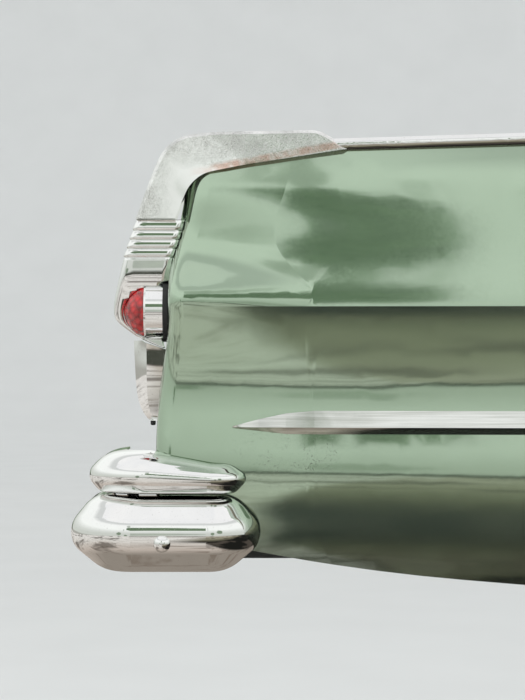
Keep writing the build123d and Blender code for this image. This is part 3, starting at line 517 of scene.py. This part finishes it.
def cut_room(housing, material):
    """takes the room for the lens, its ring and its gasket out of the housing"""
    room = bullet(lens_base, lens_radius + lens_gap, lens_depth + lens_gap)
    room += [(lens_base, ring_room), (ring_front, ring_room), (ring_front, gasket_room),
             (past_wing_end, gasket_room), (past_wing_end, 0)]
    cutter = turned("room", room, material)
    cut = housing.modifiers.new("room", "BOOLEAN")
    cut.object, cut.operation, cut.solver = cutter, "DIFFERENCE", "EXACT"
    graph = bpy.context.evaluated_depsgraph_get()
    mesh = bpy.data.meshes.new_from_object(housing.evaluated_get(graph))
    housing.modifiers.clear()
    housing.data = mesh
    bpy.data.objects.remove(cutter)


def make_housing(material):
    """the lamp's housing: four ribs with rolled feet over a hood that flows into the keel"""
    rings = [housing_ring(*level) for level in housing_levels()]
    count, last = len(rings[0]), len(rings) - 1
    # where the inboard side ends and the face to the wing, which is flat, begins
    side_end = 2 * side_steps + nose_steps
    faces, flat = [], set()
    for r in range(last):
        for i in range(count):
            if i >= side_end:
                flat.add(len(faces))
            j = (i + 1) % count
            faces.append((r * count + i, r * count + j, (r + 1) * count + j, (r + 1) * count + i))
    flat |= {len(faces), len(faces) + 1}
    faces.append(tuple(range(count))[::-1])
    faces.append(tuple(range(last * count, (last + 1) * count)))
    points = in_metres(point for ring in rings for point in ring)
    housing = piece_of("housing_casting", points, faces, material, flat)
    cut_room(housing, material)
    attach(housing, "root")
    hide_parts("lamp_housing")


# The ring round the stage that the bright pieces mirror: its radius, its middle's x, its top
far_radius, far_middle, far_top = 8.0, -0.7, 9.0
far_points = 72
# Crowns of trees in the surroundings. Columns: x, height, half width, half height, thickness
crowns = [(-2.05, 3.15, 0.80, 1.25, 0.97), (-1.42, 2.70, 0.34, 0.80, 0.95),
          (-1.24, 4.3, 0.10, 0.8, 0.4), (-0.62, 3.0, 0.10, 1.6, 0.30), (-2.35, 5.1, 0.50, 1.3, 0.55),
          (-3.42, 2.4, 0.20, 0.8, 0.4), (-1.75, 0.0, 0.38, 0.42, 0.40), (-2.9, -0.4, 0.40, 0.35, 0.8),
          (-4.4, 0.3, 0.5, 0.8, 0.8), (0.6, 0.2, 0.6, 0.7, 0.8), (2.6, 1.1, 0.9, 1.2, 0.85)]


def far_circle(z):
    """points of the ring round the stage at a height"""
    angles = [2 * pi * i / far_points for i in range(far_points)]
    return [(far_radius * cos(angle) + far_middle, far_radius * sin(angle), z) for angle in angles]


def make_sky():
    """the open air that the bright pieces mirror, with trees and a hedge"""
    sky = Shade("surroundings")
    ragged = sky.less(sky.noise(1.6, 5, 0.65), 0.5)
    level = sky.times(sky.plus(sky.z, 0.9), 0.075)
    trees = sky.ramp(sky.less(sky.noise(0.5, 4, 0.6), level), (0.44, 0), (0.50, 0.85))
    # those trees stand on the car's far side only; on the viewer's side and astern stand the crowns
    astern = sky.ramp(sky.plus(sky.x, 5.0), (0.0, 1), (0.5, 0))
    in_front = sky.larger(sky.ramp(sky.y, (0.0, 1), (0.01, 0)), astern)
    trees = sky.times(trees, sky.less(1.0, in_front))
    for x, z, wide, high, thick in crowns:
        across = sky.maths("DIVIDE", sky.less(sky.x, x), wide)
        upward = sky.maths("DIVIDE", sky.less(sky.z, z), high)
        reach = sky.plus(sky.times(across, across), sky.times(upward, upward))
        reach = sky.plus(reach, sky.times(ragged, 1.9))
        crown = sky.ramp(reach, (0.62, thick), (1.0, 0))
        trees = sky.larger(trees, sky.times(crown, in_front))
    leaves = sky.ramp(sky.noise(5, 4, 0.7), (0.35, (0.045, 0.085, 0.045)), (0.7, (0.22, 0.33, 0.18)))
    air = sky.ramp(sky.times(sky.z, 0.14), (0.0, (0.66, 0.69, 0.64)), (0.14, (0.76, 0.79, 0.75)),
                   (0.38, (1.03, 1.06, 1.03)), (0.80, (1.03, 1.05, 1.03)), (1.0, (0.72, 0.74, 0.73)))
    hedge = sky.ramp(sky.plus(sky.z, 0.95), (0.22, 1), (0.40, 0))
    hedge_colour = sky.mix(astern, (0.06, 0.065, 0.05), (0.42, 0.42, 0.38))
    sky.show_mirrored(sky.mix(hedge, sky.mix(trees, air, leaves), hedge_colour))
    count = far_points
    faces = [(i, (i + 1) % count, count + (i + 1) % count, count + i) for i in range(count)]
    stage_mesh("surroundings", far_circle(road) + far_circle(far_top), faces, sky)


def make_ground():
    """the ground that the bright pieces mirror: the car's shadow, lit ground behind it, marks, painted
    shadows of trees
    """
    ground = Shade("ground")
    away = ground.times(ground.y, -0.25)
    near = ground.ramp(away, (0.22, (0.014, 0.014, 0.012)), (0.31, (0.16, 0.15, 0.105)),
                       (0.46, (0.33, 0.31, 0.23)), (1.0, (0.50, 0.46, 0.39)))
    # lit ground behind the car, up to the slanting edge of its shadow
    slant = ground.times(ground.larger(ground.y, -0.9), 0.45)
    edge = ground.less(ground.x, slant)
    behind = ground.ramp(ground.plus(edge, 1.365), (0.46, 1), (0.54, 0))
    reach = ground.larger(ground.times(ground.y, -0.5), ground.times(ground.plus(ground.x, 1.4), -0.5))
    lit = ground.ramp(reach, (0.06, (0.30, 0.265, 0.225)), (0.16, (0.56, 0.49, 0.43)),
                      (0.42, (0.76, 0.73, 0.68)), (1.0, (0.84, 0.82, 0.78)))
    marks = ground.ramp(ground.noise(9, 4, 0.65, (1, 2.4, 1)), (0.54, 0.0), (0.62, 0.6))
    near = ground.mix(behind, near, ground.mix(marks, lit, (0.16, 0.12, 0.09)))
    # dark patches: painted shadows of trees
    tree_shadow_patches = ground.ramp(ground.noise(1.15, 4, 0.6), (0.52, 0.0), (0.60, 1.0))
    ground.show_mirrored(ground.mix(ground.times(tree_shadow_patches, 0.75), near, (0.10, 0.085, 0.07)))
    over_paper = 0.002
    stage_mesh("ground", far_circle(road + over_paper), [tuple(range(far_points))], ground)


def make_overcast():
    """the even cloud that lies over the surroundings as a lid"""
    lid = Shade("overcast")
    lid.show_mirrored(lid.ramp(lid.noise(0.3, 3), (0.3, (0.94, 0.95, 0.96)), (0.7, (1.02, 1.02, 1.01))))
    stage_mesh("overcast", far_circle(far_top), [tuple(range(far_points))], lid)


def make_world():
    """a plain pale light from all round"""
    world = bpy.data.worlds.new("world")
    scene.world = world
    world.use_nodes = True
    background = world.node_tree.nodes["Background"]
    background.inputs["Color"].default_value = (0.93, 0.97, 1.0, 1)
    background.inputs["Strength"].default_value = 0.8


def make_lamp(name, place, aim, size, power):
    """a soft lamp that isn't mirrored, so that it leaves no hard stripe on the bright pieces"""
    data = bpy.data.lights.new(name, "AREA")
    data.shape = "RECTANGLE"
    data.size, data.size_y = size
    data.energy = power
    lamp = bpy.data.objects.new(name, data)
    lamp.location = place
    lamp.rotation_euler = (Vector(aim) - Vector(place)).to_track_quat("-Z", "Y").to_euler()
    lamp.visible_glossy = False
    scene.collection.objects.link(lamp)


make_camera()
materials = make_materials()
dress_nodes(materials)
make_lens(materials["lens_red"])
make_housing(materials["chrome"])
make_backdrop()
make_sky()
make_ground()
make_overcast()
make_world()
make_lamp("top", (-0.6, -1.2, 2.6), (-0.6, 0, -0.2), (3.6, 1.0), 55)
make_lamp("tail", (-3.4, -1.4, 1.2), (-1.2, 0, -0.3), (0.9, 1.6), 22)
scene.view_settings.view_transform = "Standard"
